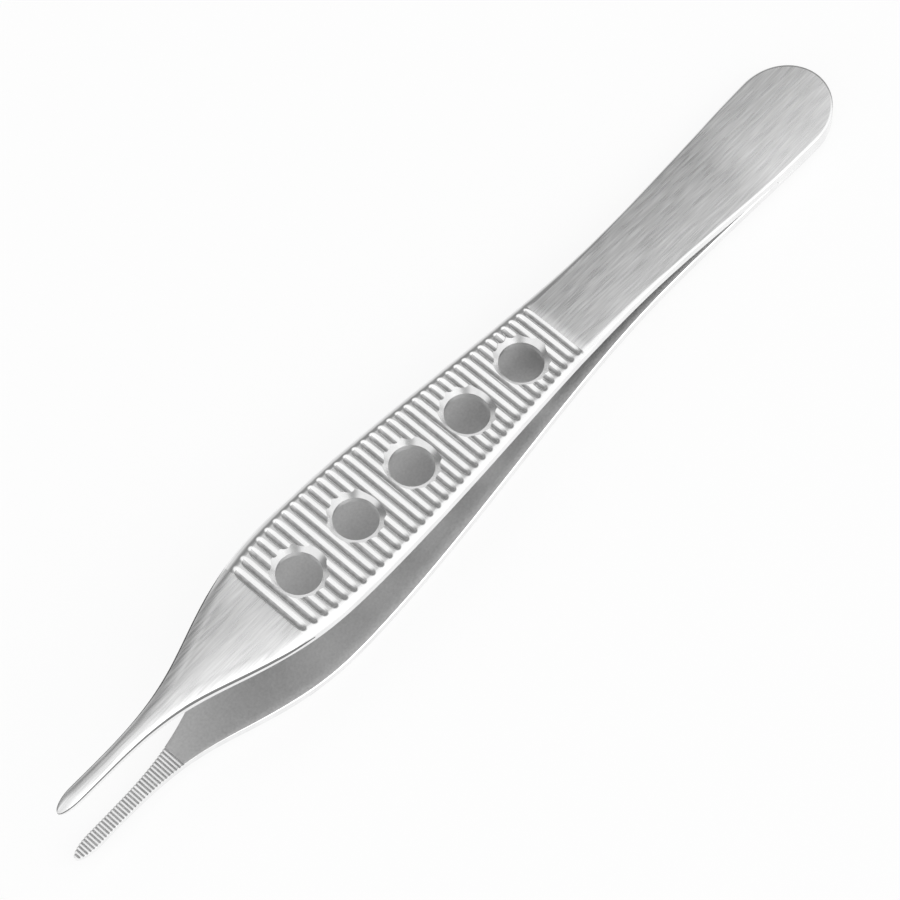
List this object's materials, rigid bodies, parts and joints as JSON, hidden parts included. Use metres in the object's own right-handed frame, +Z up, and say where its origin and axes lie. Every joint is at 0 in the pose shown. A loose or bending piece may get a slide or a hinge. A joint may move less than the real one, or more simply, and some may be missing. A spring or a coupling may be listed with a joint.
{
  "type": "thumb forceps",
  "caption": "Slender spring forceps of two flat steel limbs joined at a rounded butt, with a broad ridged grip, round grip holes and fine straight serrated tips.",
  "frame": {"origin": "under the middle of the forceps, on the surface that it lies on", "axes": "+X lengthwise towards the tips, +Y across the limbs, +Z up through the limb with the grip holes"},
  "size_m": [0.1202, 0.0136, 0.0173],
  "materials": {
    "limb_steel": "satin brushed lengthwise on the outer faces, polished on edges, ridges and countersinks, blasted matt inside",
    "weld_steel": "ground flush and polished"
  },
  "bodies": {
    "root": {"upper_limb": "limb_steel", "lower_limb": "limb_steel", "butt_weld": "weld_steel"}
  },
  "joints": []
}
